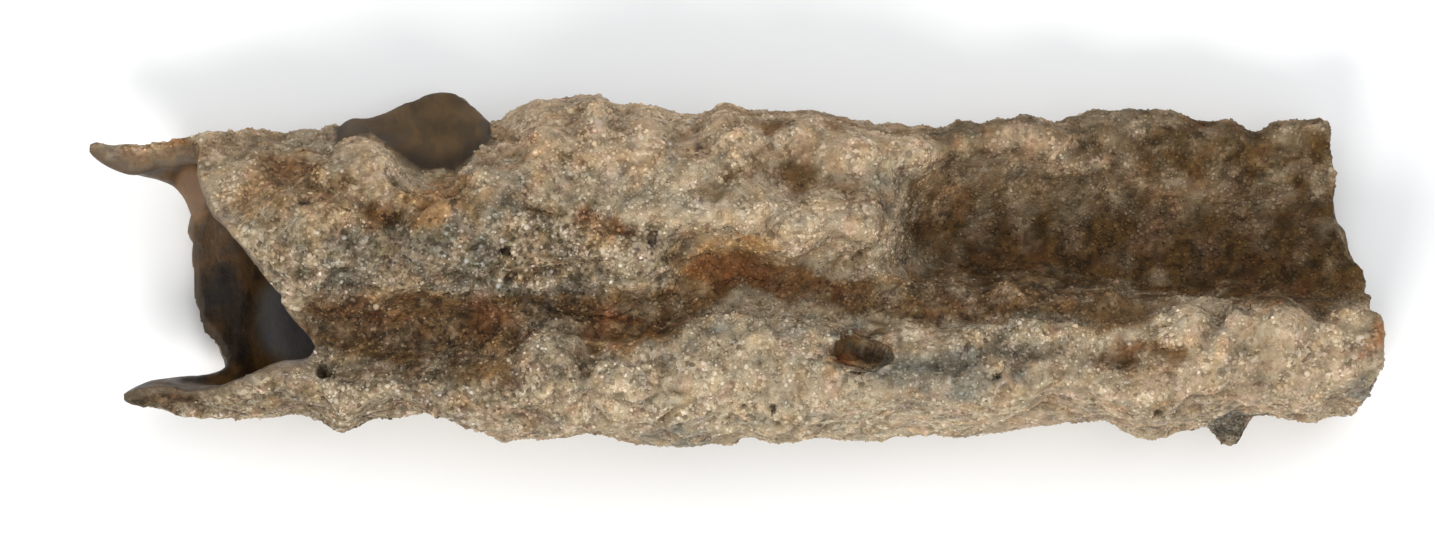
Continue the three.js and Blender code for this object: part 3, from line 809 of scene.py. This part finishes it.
# where the crust is duller: thin soot and clay over the whole shoulder and the near rim
DULL = [
    (-15.5, 0.2, 8.5, 2.5, 0.65), (-21.5, 2.5, 3.5, 3.5, 0.3), (-9.5, 0.5, 4.0, 3.0, 0.75),
    (-16.0, -6.8, 7.0, 1.6, 0.55), (-24.0, -6.6, 5.0, 1.4, 0.4), (-9.4, -4.2, 2.4, 1.6, 0.45),
    (-4.6, 0.4, 2.4, 1.6, 0.45), (-27.5, -6.4, 4.0, 1.4, 0.6), (13.5, -3.8, 3.0, 1.0, 0.35),
    (-4.0, -4.6, 3.5, 1.2, 0.25), (-17.0, -3.2, 5.5, 2.0, 0.7), (-4.0, -2.3, 4.0, 1.0, 0.45),
    (12.0, -1.6, 7.0, 1.1, 0.5), (25.0, -8.3, 2.0, 1.1, 1.0),
]
# painted shade inside the small pits, and on the east side of the large one
PITS_SHADE = [(x, y, 0.85 * half_x, 0.85 * half_y, 2.0) for x, y, half_x, half_y, _ in PITS[1:]]
PITS_SHADE.append((6.8, -4.35, 0.80, 0.40, 0.8))

# %% Tints, as factors on plain tan sand or plain glass
# brown dust, and painted shade where it is laid in deep hollows and creases
BROWN_DUST_AND_SHADE = np.array((0.44, 0.315, 0.185))
RUST_RED = np.array((0.72, 0.44, 0.28))
GLASS_GREY = np.array((0.56, 0.64, 0.74))
FOLD_PEACH = np.array((1.14, 1.06, 1.01))
QUARTZ_CREAM = np.array((1.20, 1.21, 1.22))
OCHRE = np.array((0.98, 0.76, 0.50))
OLIVE_DARK = np.array((0.44, 0.43, 0.30))
LILAC = np.array((1.10, 1.02, 1.08))
DULL_CLAY = np.array((0.64, 0.61, 0.58))
GLASS_DARKER = np.array((0.66, 0.60, 0.54))
# painted bluish sheen for the shaded glass deep in the mouth
PAINTED_SHEEN_BLUE = np.array((1.8, 2.7, 5.6))
PALE_PINK = np.array((2.5, 2.5, 3.3))
# the trough's brown stain, darker still as painted shade cast by the tall ridge
TROUGH_STAIN_AND_SHADE = np.array((0.285, 0.190, 0.082))


def slow_noise(places, size, offset):
    """Smooth noise from about -0.5 to 0.5, in blotches of about this size in mm."""
    return np.array([noise.noise(Vector(place) / size + Vector((offset, 0, 0))) for place in places])


def speckles(places, size, offset):
    """Small separate spots on about a tenth of the surface."""
    return smoothstep(0.15, 0.40, slow_noise(places, size, offset))


def band_share(places, south, north, softness):
    """1 between two plan lines, and 0 past them or past their ends."""
    x, y = places[:, 0], places[:, 1]
    share = smoothstep(0, softness, y - line_y(south, x)) * smoothstep(0, softness, line_y(north, x) - y)
    west, east = south[0][0], south[-1][0]
    return share * smoothstep(west, west + 1, x) * smoothstep(east + 1, east, x)


def underside(places, size, offset):
    """Blotches for the side where no stain is listed."""
    return (1 - looks_up) * smoothstep(0.08, 0.42, slow_noise(places, size, offset))


def tint_of(places, looks_up, shelter, fine_crease, broad_crease):
    """One colour factor for each point of the crust, with 1 for plain tan sand."""
    moved = shaken(shaken(places, 1.6, 1.2), 0.45, 0.45)

    def laid(patches):
        return patch_share(moved, patches) * looks_up

    barely_moved = 0.6 * places + 0.4 * moved
    blotch = slow_noise(places, 1.5, 19.0)
    mottle = 0.7 * slow_noise(places, 0.8, 91.0) + 0.7 * blotch
    # brown from the creases, partly dust and partly painted shade, with random blotches
    dust_and_crease_shade = 0.16 * broad_crease + 0.13 * fine_crease + 0.5 * blotch
    valley = band_share(barely_moved, VALLEY_SOUTH, VALLEY_NORTH, 0.7) * looks_up
    ledge_north = [(x, y + LEDGE_WIDTH) for x, y in TROUGH_SOUTH]
    ledge = band_share(barely_moved, LEDGE_SOUTH, ledge_north, 0.4) * looks_up
    peach = np.maximum(laid(PEACH), underside(places, 3.0, 3.0) * 0.6)
    # the trough: brown stain and painted shade cast by the tall ridge, darkest on its floor
    trough = band_share(barely_moved, TROUGH_SOUTH, TROUGH_NORTH, 0.8) * looks_up
    trough = trough * line_y(TROUGH_DEPTHS, barely_moved[:, 1] + 2.0 * blotch) * (1 - 0.75 * peach)
    trough = np.maximum(trough, laid(TROUGH_END))
    brown = np.maximum(laid(BROWN), underside(places, 4.5, 31.0) * 0.8)
    brown = np.clip(brown * (0.90 + 0.6 * dust_and_crease_shade) + smoothstep(0.15, 1.0, dust_and_crease_shade) * 0.75, 0, 1)
    brown = np.maximum(brown, np.maximum(valley * (0.90 - 0.7 * mottle), ledge * (0.85 - 0.7 * mottle)))
    # painted shade: points that see little open sky, deep in hollows, turn brown
    brown = np.maximum(brown, 0.7 * smoothstep(0.45, 0.75, shelter)) * (1 - trough)
    rust = np.maximum(laid(RUST), underside(places, 3.1, 77.0))
    rust = rust * (0.75 + 1.6 * blotch) + 0.25 * speckles(places, 0.9, 45.0)
    grey = np.maximum(laid(GREY), underside(places, 3.6, 53.0)) * (0.8 - 1.2 * blotch)
    grey = grey + 0.45 * speckles(places, 0.7, 63.0)
    cream = laid(CREAM) + 0.35 * smoothstep(0.3, 1.6, -broad_crease)
    cream = cream + 0.4 * speckles(places, 0.6, 23.0)
    dull = laid(DULL)
    ochre = 0.35 * speckles(places, 0.9, 131.0) + laid(OCHRE_DUST)
    olive = (0.35 + 0.65 * np.maximum(dull, trough)) * speckles(places, 0.5, 151.0)
    olive = np.maximum(olive, 0.8 * trough * speckles(places, 1.0, 201.0))
    lilac = 0.8 * speckles(places, 0.75, 171.0)
    tint = np.ones((len(places), 3))
    for share, colour in ((peach, FOLD_PEACH), (cream, QUARTZ_CREAM), (lilac, LILAC), (ochre, OCHRE),
                          (dull, DULL_CLAY), (grey, GLASS_GREY), (rust, RUST_RED), (brown, BROWN_DUST_AND_SHADE),
                          (trough * (1 - 0.6 * mottle), TROUGH_STAIN_AND_SHADE), (olive, OLIVE_DARK)):
        share = np.clip(share, 0, 1)[:, None]
        tint = tint * (1 - share + colour * share)
    value = 1 + 0.38 * slow_noise(places, 0.6, 5.0) + 0.20 * slow_noise(places, 2.6, 15.0)
    # painted shade in the creases and painted light on the lumps
    return tint * (value - 0.08 * fine_crease)[:, None]


places, normals = places_of(skin), normals_of(skin)
looks_up = smoothstep(-0.35, 0.15, averaged(normals[:, 2], 8))
tint = tint_of(places, looks_up, shelter, fine_crease, broad_crease)
# painted bluish sheen deep in the mouth; pale sand skin on the far wall's upper corner
painted_sheen, pale = patch_share(places, MOUTH_SHEEN_PATCHES)[:, None], patch_share(places, PALE_SKIN)[:, None]
on_glass = (inside * (1 - wing))[:, None]
glass_tint = mixed(mixed(GLASS_DARKER, PAINTED_SHEEN_BLUE, painted_sheen), PALE_PINK, pale)
tint = mixed(tint, glass_tint, on_glass)
dust_and_sheen = np.maximum(0.65 * wing, 0.85 * (np.maximum(painted_sheen, pale) * on_glass)[:, 0])
# painted shade on the wing just under the notch's lip, with random blotches
shade_under_lip = bell(places[:, 1], line_y(NOTCH_LIP, places[:, 0]), 0.8)
wing_tint = (1 - 0.5 * shade_under_lip) * (1 + 0.6 * slow_noise(places, 1.4, 7.0))
tint = mixed(tint, wing_tint[:, None], wing[:, None])
# painted shade in the pits
pit_shade = 0.78 * np.minimum(patch_share(places, PITS_SHADE), 1) * looks_up
tint = tint * (1 - pit_shade)[:, None]
print("mean tint", np.round(tint[inside < 0.5].mean(0), 2))


# %% Store what the materials read
def keep_numbers(mesh, name, values):
    layer = mesh.attributes.new(name, "FLOAT", "POINT")
    layer.data.foreach_set("value", np.asarray(values, np.float32))


def keep_colours(mesh, name, colours):
    rgba = np.ones((len(colours), 4), np.float32)
    rgba[:, :3] = colours
    layer = mesh.attributes.new(name, "FLOAT_COLOR", "POINT")
    layer.data.foreach_set("color", rgba.ravel())


grit = patch_share(places, DULL)
for name, values in (("inside", inside), ("rim", rim), ("dust_and_sheen", dust_and_sheen), ("grit", grit)):
    keep_numbers(skin, name, values)
keep_colours(skin, "tint", tint)
print("stored on the skin: inside, rim, dusty, grit and tint")

# %% [markdown]
# ## Materials
# The wall is one body of glass with two faces, so one material covers both and fades across the
# broken rims by the "inside" value. On the crust, cells the size of sand grains get a tone each,
# bulge a little, and vary in gloss: melted quartz is shiny, dust is not. The glass is clouded amber
# and brown, smooth enough to shine. Cells could be drawn by noise instead, but noise has no grain
# boundaries.


# %% Small helpers for node trees
def add_node(tree, kind, inputs=(), **settings):
    node = tree.nodes.new("ShaderNode" + kind)
    for name, value in settings.items():
        setattr(node, name, value)
    for name, value in dict(inputs).items():
        if isinstance(value, bpy.types.NodeSocket):
            tree.links.new(value, node.inputs[name])
        else:
            node.inputs[name].default_value = value
    return node


def stored(tree, name, output="Fac"):
    """A value kept on the mesh; its colour, if the output is Color."""
    return add_node(tree, "Attribute", attribute_name=name).outputs[output]


def place_in_mm(tree, stretch=(1, 1, 1)):
    """The point's place in mm, squeezed by a factor along each axis."""
    place = add_node(tree, "TexCoord").outputs["Object"]
    scale = tuple(s / MM for s in stretch)
    return add_node(tree, "Mapping", {"Vector": place, "Scale": scale}).outputs["Vector"]


def blend(tree, share, first, second, how="MIX"):
    """The first colour or value, with a share of the second one laid over it."""
    node = add_node(tree, "Mix", data_type="RGBA", blend_type=how)
    for socket, value in ((0, share), (6, first), (7, second)):
        if isinstance(value, bpy.types.NodeSocket):
            tree.links.new(value, node.inputs[socket])
        else:
            node.inputs[socket].default_value = value
    return node.outputs[2]


def steps(tree, value, stops):
    """A colour ramp through (position, colour) stops, lowest first."""
    node = add_node(tree, "ValToRGB", {"Fac": value})
    ramp = node.color_ramp
    ramp.elements[0].position, ramp.elements[0].color = stops[0][0], (*stops[0][1], 1)
    ramp.elements[1].position, ramp.elements[1].color = stops[-1][0], (*stops[-1][1], 1)
    for position, colour in stops[1:-1]:
        ramp.elements.new(position).color = (*colour, 1)
    return node.outputs["Color"]


def ranged(tree, value, low, high, to_low=0.0, to_high=1.0):
    """The value, moved from one range to another and held inside it."""
    return add_node(tree, "MapRange", {"Value": value, "From Min": low, "From Max": high,
                                       "To Min": to_low, "To Max": to_high}).outputs["Result"]


def soft_noise(tree, place, scale, detail, **more):
    inputs = {"Vector": place, "Scale": scale, "Detail": detail, **more}
    return add_node(tree, "TexNoise", inputs).outputs["Fac"]


def bulge(tree, shader, height, depth, strength):
    """Shade the surface as if a height of 1 stood this many mm proud."""
    inputs = {"Height": height, "Distance": depth * MM, "Strength": strength}
    bump = add_node(tree, "Bump", inputs)
    tree.links.new(bump.outputs["Normal"], shader.inputs["Normal"])


# %% The crust's colour: one tone for each fused grain
GRAIN_TONES = [
    (0.00, (0.13, 0.098, 0.063)), (0.12, (0.231, 0.177, 0.115)), (0.35, (0.372, 0.298, 0.200)),
    (0.65, (0.474, 0.39, 0.268)), (0.86, (0.574, 0.492, 0.362)), (1.00, (0.745, 0.69, 0.58)),
]
FUSED_TAN = (0.442, 0.362, 0.248, 1)
CREVICE_SHADE = (0.78, 0.75, 0.71, 1)
PEPPER = [(0.36, (0.45, 0.43, 0.40)), (0.50, (0.95, 0.94, 0.92)), (0.64, (1.45, 1.45, 1.46))]
GRAIN_SIZE = 0.21


def grain_cells(tree, place, **settings):
    inputs = {"Vector": place, "Scale": 1 / GRAIN_SIZE}
    return add_node(tree, "TexVoronoi", inputs, **settings).outputs


def crust_colour(tree, place):
    cell_colour = grain_cells(tree, place)["Color"]
    tone = add_node(tree, "SeparateColor", {"Color": cell_colour}).outputs["Red"]
    speckle = steps(tree, tone, GRAIN_TONES)
    ran_together = ranged(tree, soft_noise(tree, place, 0.9, 3.0), 0.40, 0.62, 0.20, 0.80)
    ungritty = ranged(tree, stored(tree, "grit"), 0.0, 1.0, 1.0, 0.15)
    share = add_node(tree, "Math", {0: ran_together, 1: ungritty}, operation="MULTIPLY").outputs[0]
    fused = blend(tree, share, speckle, FUSED_TAN)
    pepper = steps(tree, soft_noise(tree, place, 2.6, 4.0, Roughness=0.65), PEPPER)
    share = ranged(tree, stored(tree, "grit"), 0.0, 0.8, 0.25, 1.0)
    fused = blend(tree, share, fused, blend(tree, 1.0, fused, pepper, "MULTIPLY"))
    between_grains = blend(tree, 1.0, fused, CREVICE_SHADE, "MULTIPLY")
    return blend(tree, 1.0, between_grains, stored(tree, "tint", "Color"), "MULTIPLY")


# %% The glass's colour: clouds of amber, brown and grey
GLASS_CLOUDS = [
    (0.3, (0.016, 0.009, 0.004)), (0.43, (0.048, 0.027, 0.01)), (0.52, (0.13, 0.068, 0.019)),
    (0.6, (0.085, 0.048, 0.017)), (0.67, (0.058, 0.047, 0.036)), (0.77, (0.14, 0.078, 0.028)),
]
DUST_AND_SHEEN_BROWN = (0.086, 0.054, 0.026, 1)


def glass_colour(tree):
    slow = place_in_mm(tree, (0.60, 0.38, 0.20))
    clouds = soft_noise(tree, slow, 1.0, 4.0, Roughness=0.55, Distortion=0.3)
    # where this value is high the clouds give way to flat brown: dust on the wing, and the base of the
    # painted sheen and of the pale skin in the mouth
    dust_and_sheen_base = blend(tree, stored(tree, "dust_and_sheen"), steps(tree, clouds, GLASS_CLOUDS), DUST_AND_SHEEN_BROWN)
    return blend(tree, 1.0, dust_and_sheen_base, stored(tree, "tint", "Color"), "MULTIPLY")


# %% The wall's two-faced material
RIM_BROWN = (0.15, 0.11, 0.075, 1)
DUSTY_ROUGHNESS = (0.85, 0.85, 0.85, 1)
MELTED_QUARTZ_IOR = 1.46


def wall_material():
    material, tree, shader = new_material("sand_crusted_glass")
    place = place_in_mm(tree)
    glass = stored(tree, "inside")
    colour = blend(tree, glass, crust_colour(tree, place), glass_colour(tree))
    broken = ranged(tree, stored(tree, "rim"), 0.60, 1.0, 0.0, 0.5)
    colour = blend(tree, broken, colour, RIM_BROWN)
    tree.links.new(colour, shader.inputs["Base Color"])

    from_grain = grain_cells(tree, place, feature="SMOOTH_F1")["Distance"]
    crumbs = soft_noise(tree, place, 9.0, 4.0)
    ripples = soft_noise(tree, place_in_mm(tree, (1.1, 0.7, 0.25)), 1.0, 4.0)
    grainy = blend(tree, 0.5, crumbs, from_grain, "SUBTRACT")
    height = blend(tree, glass, grainy, blend(tree, 0.15, ripples, crumbs))
    bulge(tree, shader, height, 0.16, 0.9)

    crust_rough = ranged(tree, from_grain, 0.1, 0.6, 0.55, 0.95)
    glass_rough = ranged(tree, ripples, 0.35, 0.7, 0.40, 0.60)
    glass_rough = blend(tree, stored(tree, "dust_and_sheen"), glass_rough, DUSTY_ROUGHNESS)
    tree.links.new(blend(tree, glass, crust_rough, glass_rough), shader.inputs["Roughness"])
    shader.inputs["IOR"].default_value = MELTED_QUARTZ_IOR
    shader.inputs["Specular IOR Level"].default_value = 0.27
    return material


skin.materials.clear()
skin.materials.append(wall_material())
print("wall material has", len(skin.materials[0].node_tree.nodes), "nodes")

# %% [markdown]
# ## Sand grains
# Real relief is what makes fused sand catch the light, so the crust carries separate little stones:
# faceted lumps, 0.12 to 0.4 mm across, half sunk in the skin. They are laid by random draws from
# a fixed seed, denser where the crust is rough and sparser where it is fused smooth. They are plain
# joined meshes, in a few pieces of under 200,000 triangles, so nothing depends on instancing. Each
# grain also gets a spot of its own on a small colour map, by tone, for programs that need one.

# %% One grain, before it is bent out of shape
GOLD = (1 + 5 ** 0.5) / 2
GRAIN_POINTS = np.array([(-1, GOLD, 0), (1, GOLD, 0), (-1, -GOLD, 0), (1, -GOLD, 0),
                         (0, -1, GOLD), (0, 1, GOLD), (0, -1, -GOLD), (0, 1, -GOLD),
                         (GOLD, 0, -1), (GOLD, 0, 1), (-GOLD, 0, -1), (-GOLD, 0, 1)])
GRAIN_POINTS /= np.linalg.norm(GRAIN_POINTS[0])
GRAIN_FACES = np.array([(0, 11, 5), (0, 5, 1), (0, 1, 7), (0, 7, 10), (0, 10, 11),
                        (1, 5, 9), (5, 11, 4), (11, 10, 2), (10, 7, 6), (7, 1, 8),
                        (3, 9, 4), (3, 4, 2), (3, 2, 6), (3, 6, 8), (3, 8, 9),
                        (4, 9, 5), (2, 4, 11), (6, 2, 10), (8, 6, 7), (9, 8, 1)])
CORNERS, SIDES = len(GRAIN_POINTS), len(GRAIN_FACES)
print(f"a grain has {CORNERS} corners and {SIDES} sides")

# %% Where the grains lie
GRAINS_PER_PIECE = 9700
GRAIN_PIECES = 4
CLEAR_OF_PITS = 1.1
DRAW_SEED = 20
dice = np.random.default_rng(DRAW_SEED)


def in_a_pit(spots):
    inside_one = np.zeros(len(spots), bool)
    for *oval, _ in PITS:
        inside_one |= (away_from(spots, *oval) < CLEAR_OF_PITS) & (spots[:, 2] > DEPTH / 2)
    return inside_one


def drawn_spots(mesh, count):
    """Random spots on the crust: place, normal, and tint at each."""
    mesh.calc_loop_triangles()
    corners = np.empty(len(mesh.loop_triangles) * 3, int)
    mesh.loop_triangles.foreach_get("vertices", corners)
    corners = corners.reshape(-1, 3)
    places, normals = places_of(mesh), normals_of(mesh)
    a, b, c = (places[corners[:, k]] for k in range(3))
    area = np.linalg.norm(np.cross(b - a, c - a), axis=1) / 2
    middle = (a + b + c) / 3
    coarse = smoothstep(-0.35, 0.25, slow_noise(middle, 2.4, 40.0))
    bare = np.maximum(inside, 0.85 * rim)[corners].mean(1)
    likely = area * (1 - bare) ** 3 * (0.30 + 0.70 * coarse) * ~in_a_pit(middle)
    face = dice.choice(len(corners), count, p=likely / likely.sum())
    u, v = dice.random((2, count))
    over = u + v > 1
    u[over], v[over] = 1 - u[over], 1 - v[over]
    weights = np.stack([1 - u - v, u, v], 1)[:, :, None]
    spots = (places[corners[face]] * weights).sum(1)
    facing = unit((normals[corners[face]] * weights).sum(1))
    return spots, facing, (tint[corners[face]] * weights).sum(1)


spots, facing, tints = drawn_spots(skin, GRAINS_PER_PIECE * GRAIN_PIECES)
print(f"{len(spots)} grains drawn")


# %% Grains into joined meshes
USUAL_SIZE, SMALLEST, LARGEST = 0.108, 0.06, 0.21  # half across, in mm
PALEST = 0.92
MAP_SPOT = [(0, 0), (0.004, 0), (0, 0.004)]  # the small triangle each side takes on the colour map


def random_turns(count):
    """Random rotations, from random unit quaternions."""
    turns = dice.normal(size=(4, count))
    w, x, y, z = turns / np.linalg.norm(turns, axis=0)
    return np.stack([
        np.stack([1 - 2 * (y * y + z * z), 2 * (x * y - z * w), 2 * (x * z + y * w)], 1),
        np.stack([2 * (x * y + z * w), 1 - 2 * (x * x + z * z), 2 * (y * z - x * w)], 1),
        np.stack([2 * (x * z - y * w), 2 * (y * z + x * w), 1 - 2 * (x * x + y * y)], 1)], 1)


def grain_colours(tone, tints):
    """The tone's colour on the same steps as the skin's cells, times the skin's tint: its stains and its
    painted shade.
    """
    positions, colours = zip(*GRAIN_TONES)
    base = np.stack([np.interp(tone, positions, channel) for channel in zip(*colours)], 1)
    return np.clip(base * tints, 0, PALEST)


def grain_piece(name, spots, facing, tints):
    """A grain at each spot, all in one mesh: bent, flattened, turned, and sunk in the skin."""
    count = len(spots)
    size = np.clip(USUAL_SIZE * np.exp(dice.normal(0, 0.30, count)), SMALLEST, LARGEST)
    lump = GRAIN_POINTS[None] * (1 + dice.uniform(-0.20, 0.20, (count, CORNERS, 1)))
    flat = [np.ones(count), dice.uniform(0.72, 1, count), dice.uniform(0.55, 0.9, count)]
    lump = lump * np.stack(flat, 1)[:, None]
    lump = np.einsum("nij,nkj->nki", random_turns(count), lump) * size[:, None, None]
    sunk = dice.uniform(-0.50, 0.15, count) - 0.35 * (1 - abs(facing[:, 2]))
    middle = spots + facing * (size * sunk)[:, None]
    places = np.clip((middle[:, None] + lump).reshape(-1, 3), LOW + FLOOR_GAP, HIGH - FLOOR_GAP)
    faces = (GRAIN_FACES[None] + CORNERS * np.arange(count)[:, None, None]).reshape(-1, 3)
    mesh = bpy.data.meshes.new(name)
    mesh.from_pydata((places * MM).tolist(), [], faces.tolist())
    mesh.shade_smooth()
    tone = dice.beta(1.8, 1.8, count)
    tone = np.clip(0.5 + (tone - 0.5) * (0.85 + 0.85 * patch_share(spots, DULL)), 0, 1)
    keep_colours(mesh, "grain_colour", np.repeat(grain_colours(tone, tints), CORNERS, axis=0))
    keep_numbers(mesh, "tone", np.repeat(tone, CORNERS))
    on_map = 0.02 + 0.94 * np.stack([tone, np.clip(tints[:, 1] / 1.5, 0, 1)], 1)
    uv = np.repeat(on_map, SIDES, axis=0)[:, None] + np.array(MAP_SPOT)
    mesh.uv_layers.new(name="OFBake").uv.foreach_set("vector", uv.ravel())
    return placed(name, mesh)


# %% The grains' own material
def grain_material():
    material, tree, shader = new_material("quartz_grains")
    place = place_in_mm(tree)
    cloud = soft_noise(tree, place, 5.0, 2.0)
    shade = steps(tree, cloud, [(0.3, (0.80, 0.78, 0.76)), (0.7, (1.0, 1.0, 1.0))])
    colour = blend(tree, 1.0, stored(tree, "grain_colour", "Color"), shade, "MULTIPLY")
    tree.links.new(colour, shader.inputs["Base Color"])
    rough = ranged(tree, stored(tree, "tone"), 0.2, 1.0, 0.85, 0.55)
    tree.links.new(rough, shader.inputs["Roughness"])
    bulge(tree, shader, soft_noise(tree, place, 14.0, 2.0), 0.05, 0.6)
    shader.inputs["IOR"].default_value = 1.5
    shader.inputs["Specular IOR Level"].default_value = 0.36
    return material


quartz = grain_material()
grain_objects = []
for k in range(GRAIN_PIECES):
    part = slice(k * GRAINS_PER_PIECE, (k + 1) * GRAINS_PER_PIECE)
    piece = grain_piece(f"sand_grains_{k + 1}", spots[part], facing[part], tints[part])
    piece.data.materials.append(quartz)
    grain_objects.append(piece)
print("triangles in grains:", sum(len(piece.data.polygons) for piece in grain_objects))

# %% [markdown]
# ## Handing over to the frame
# The sculpted tube stands for the frame's solid, which stays behind it for collision. The grains are
# fused into the same wall, so they ride on the same body.

# %% Ride and replace
skin.transform(Matrix.Scale(MM, 4))
skin.shade_smooth()
tube = placed("fulgurite_tube", skin)
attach(tube, "root")
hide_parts("fulgurite")
for piece in grain_objects:
    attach(piece, "root")
